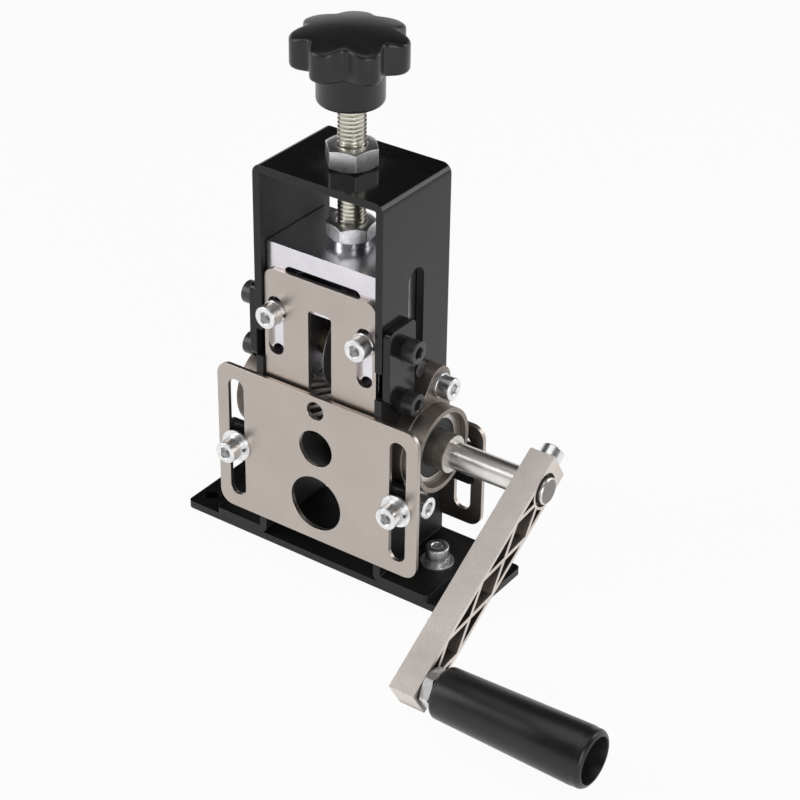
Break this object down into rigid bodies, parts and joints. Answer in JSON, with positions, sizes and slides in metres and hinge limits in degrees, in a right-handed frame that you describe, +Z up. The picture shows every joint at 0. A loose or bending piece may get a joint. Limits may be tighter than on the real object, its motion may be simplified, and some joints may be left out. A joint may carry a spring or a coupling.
{
  "type": "hand crank wire stripper",
  "caption": "Bench wire stripper: a crank turns a grooved roller that feeds cable under a round blade, whose block a knob and screw raise and lower in an upright frame.",
  "frame": {"origin": "centre of the base plate's underside, where it stands on the bench", "axes": "+X along the drive shaft towards the crank, +Y the way the wire is fed, +Z up"},
  "size_m": [0.2102, 0.1078, 0.2055],
  "materials": {
    "black_paint": "gloss",
    "black_oxide": "satin",
    "zinc": "bright zinc",
    "cast_housing": "satin",
    "bearing_steel": "polished",
    "seal_rubber": "matte",
    "nickel_plate": "satin nickel",
    "block_aluminium": "brushed",
    "arm_aluminium": "blasted",
    "shaft_steel": "ground",
    "roller_steel": "knurled",
    "blade_steel": "ground",
    "bush_brass": "satin",
    "stud_steel": "yellow zinc",
    "black_plastic": "satin"
  },
  "bodies": {
    "base": {"base_plate": "black_paint", "frame": "black_paint", "foot_screws": "zinc", "foot_spring_washers": "zinc", "foot_flat_washers": "zinc", "side_plate_left": "black_paint", "side_plate_right": "black_paint", "side_plate_screws": "black_oxide", "bearing_housing_left": "cast_housing", "bearing_housing_right": "cast_housing", "bearing_outer_rings": "bearing_steel", "bearing_seals": "seal_rubber", "bearing_balls": "bearing_steel", "bearing_bolts": "zinc", "bearing_bolt_washers": "zinc", "top_nut": "zinc", "front_guide_screws": "zinc", "front_spring_washers": "zinc", "front_flat_washers": "zinc", "rear_guide_screws": "zinc", "rear_spring_washers": "zinc", "rear_flat_washers": "zinc"},
    "front_guide": {"front_guide_plate": "nickel_plate"},
    "rear_guide": {"rear_guide_plate": "nickel_plate"},
    "slider": {"slider_block": "block_aluminium", "blade_axle": "shaft_steel", "upper_screws": "zinc", "upper_spring_washers": "zinc"},
    "upper_guide": {"upper_guide_plate": "nickel_plate"},
    "blade_wheel": {"blade": "blade_steel", "blade_bush": "bush_brass"},
    "adjuster": {"knob": "black_plastic", "adjusting_stud": "stud_steel", "lower_nut": "zinc", "thrust_collar": "zinc", "pocket_nut": "zinc"},
    "drive": {"drive_shaft": "shaft_steel", "feed_roller": "roller_steel", "roller_set_screws": "black_oxide", "bearing_inner_rings": "bearing_steel", "bearing_set_screws": "black_oxide", "crank_arm": "arm_aluminium", "crank_clamp_screw": "zinc", "handle_bolt": "zinc", "handle_nut": "zinc"},
    "grip": {"handle_grip": "black_plastic"}
  },
  "joints": [
    {"name": "block_slide", "type": "slide", "parent": "base", "child": "slider", "axis": [0, 0, 1], "range_m": [-0.0005, 0.018]},
    {"name": "knob_turn", "type": "hinge", "parent": "slider", "child": "adjuster", "pos_m": [0, 0, 0.15], "axis": [0, 0, 1], "range_deg": [-120, 4320]},
    {"name": "upper_guide_slide", "type": "slide", "parent": "slider", "child": "upper_guide", "axis": [0, 0, 1], "range_m": [-0.0034, 0.0148]},
    {"name": "blade_spin", "type": "hinge", "parent": "slider", "child": "blade_wheel", "pos_m": [0, 0, 0.0848], "axis": [1, 0, 0], "continuous": true},
    {"name": "crank_turn", "type": "hinge", "parent": "base", "child": "drive", "pos_m": [0, 0, 0.055], "axis": [1, 0, 0], "continuous": true},
    {"name": "grip_spin", "type": "hinge", "parent": "drive", "child": "grip", "pos_m": [0.12, -0.06821, 0.0132], "axis": [1, 0, 0], "continuous": true},
    {"name": "front_guide_slide", "type": "slide", "parent": "base", "child": "front_guide", "axis": [0, 0, 1], "range_m": [-0.0115, 0.019]},
    {"name": "rear_guide_slide", "type": "slide", "parent": "base", "child": "rear_guide", "axis": [0, 0, 1], "range_m": [-0.0068, 0.019]}
  ],
  "couplings": [
    {"joint": "knob_turn", "follows": "block_slide", "rad_per_m": 4188.8}
  ]
}
